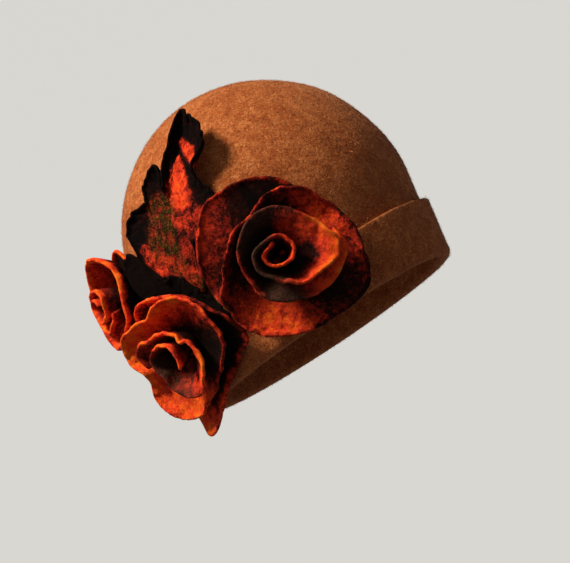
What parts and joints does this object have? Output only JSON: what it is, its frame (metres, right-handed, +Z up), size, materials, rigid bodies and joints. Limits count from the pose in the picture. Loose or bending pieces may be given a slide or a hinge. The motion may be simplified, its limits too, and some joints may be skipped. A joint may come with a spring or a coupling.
{
  "type": "cloche hat",
  "caption": "Wet-felted cloche hat with a turned-up cuff, rolled felt roses and ragged felt leaves at the wearer's right side.",
  "frame": {"origin": "middle of the head opening, in the plane of the rim's lowest line", "axes": "+X is the wearer's front, -Y the wearer's right side with the flowers, +Z is up as worn; the rim is tipped up 33 degrees at the front"},
  "size_m": [0.2651, 0.2193, 0.261],
  "materials": {
    "hat_felt": "rust-brown wool felt, matt, short fuzz",
    "dark_petal_felt": "black and dark red wool felt, matt",
    "red_petal_felt": "red and black wool felt with crinkled silk fibres",
    "orange_petal_felt": "dark wool felt with bright orange edges",
    "bright_leaf_felt": "red, orange and moss green wool felt with black edges",
    "dark_leaf_felt": "black wool felt, matt"
  },
  "bodies": {
    "root": {"hat_body": "hat_felt", "rose_1_back_petal": "dark_petal_felt", "rose_1_outer_petal": "red_petal_felt", "rose_1_spiral": "orange_petal_felt", "rose_2_back_petal": "dark_petal_felt", "rose_2_outer_petal": "red_petal_felt", "rose_2_spiral": "orange_petal_felt", "rose_3_back_petal": "dark_petal_felt", "rose_3_outer_petal": "red_petal_felt", "rose_3_spiral": "orange_petal_felt", "leaf_bright": "bright_leaf_felt", "leaf_dark": "dark_leaf_felt"}
  },
  "joints": []
}
